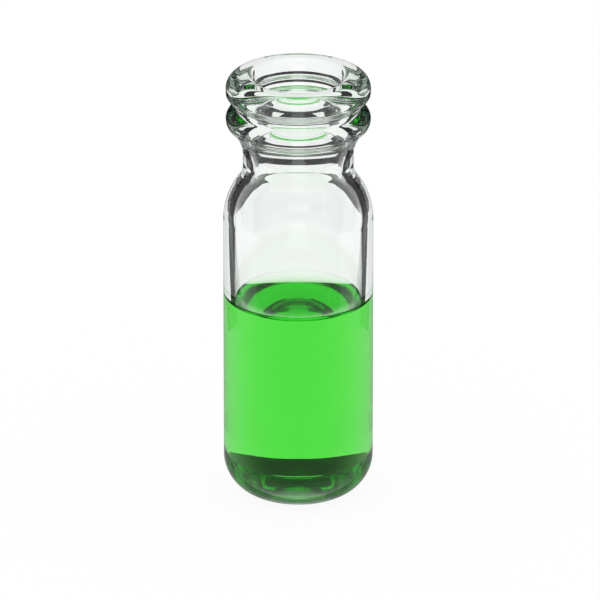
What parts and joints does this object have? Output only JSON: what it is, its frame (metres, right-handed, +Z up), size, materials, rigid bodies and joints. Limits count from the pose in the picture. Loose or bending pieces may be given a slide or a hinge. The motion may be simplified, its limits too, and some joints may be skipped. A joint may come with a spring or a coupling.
{
  "type": "glass sample vial",
  "caption": "Clear wide-mouth glass vial with a ringed lip for crimp or snap caps, a short neck and rounded shoulder, part filled with a green liquid sample.",
  "frame": {"origin": "middle of the plane the vial stands on", "axes": "+Z up along the vial's axis, out of its mouth; X and Y are alike, because the vial is round"},
  "size_m": [0.0114, 0.0114, 0.0339],
  "materials": {
    "clear_glass": "clear fire-polished borosilicate tube glass",
    "green_sample": "clear bright green water-based liquid"
  },
  "bodies": {
    "root": {"glass_vial": "clear_glass", "sample_liquid": "green_sample"}
  },
  "joints": []
}
